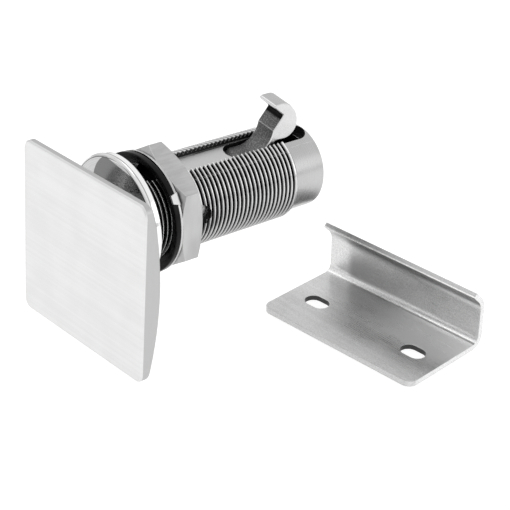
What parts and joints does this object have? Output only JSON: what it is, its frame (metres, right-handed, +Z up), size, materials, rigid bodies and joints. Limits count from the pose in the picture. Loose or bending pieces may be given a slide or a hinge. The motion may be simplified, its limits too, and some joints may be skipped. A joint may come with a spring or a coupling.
{
  "type": "flush_latch",
  "caption": "Flush pull latch: square pull plate, M27 x 1.5 threaded barrel with gasket, tab washer, nut, sprung hook, and a separate bent strike plate.",
  "frame": {"origin": "on the barrel's axis at the rear face of its flange, where the panel seats", "axes": "+Y along the barrel from the panel to its rear end, +Z up, -Y the way the pull plate faces"},
  "size_m": [0.0884, 0.0996, 0.0691],
  "materials": {
    "stainless_brushed": "brushed",
    "stainless_polished": "polished",
    "steel_plain": "machined",
    "brass_bush": "machined",
    "rubber_black": "matte"
  },
  "bodies": {
    "barrel": {"barrel": "stainless_polished", "stem_bush": "brass_bush", "stem_o_ring": "rubber_black", "panel_gasket": "rubber_black", "tab_washer": "stainless_brushed", "hex_nut": "stainless_brushed", "pivot_pin": "steel_plain", "return_spring": "steel_plain", "end_plug": "steel_plain", "strike_plate": "stainless_brushed"},
    "puller": {"front_plate": "stainless_brushed", "plate_set_screw": "steel_plain", "pull_stem": "steel_plain", "plunger": "steel_plain"},
    "hook": {"hook": "stainless_brushed", "cam_pin": "steel_plain"}
  },
  "joints": [
    {"name": "plate_slide", "type": "slide", "parent": "barrel", "child": "puller", "axis": [0, -1, 0], "range_m": [0, 0.005], "stiffness_N_per_m": 900, "springref_m": -0.004, "deforming": ["return_spring"]},
    {"name": "hook_hinge", "type": "hinge", "parent": "barrel", "child": "hook", "pos_m": [0.0005, 0.0186, 0.00306], "axis": [-0.9871, 0, 0.1599], "range_deg": [0, 16]}
  ],
  "couplings": [
    {"joint": "hook_hinge", "follows": "plate_slide", "rad_per_m": 55.85}
  ]
}
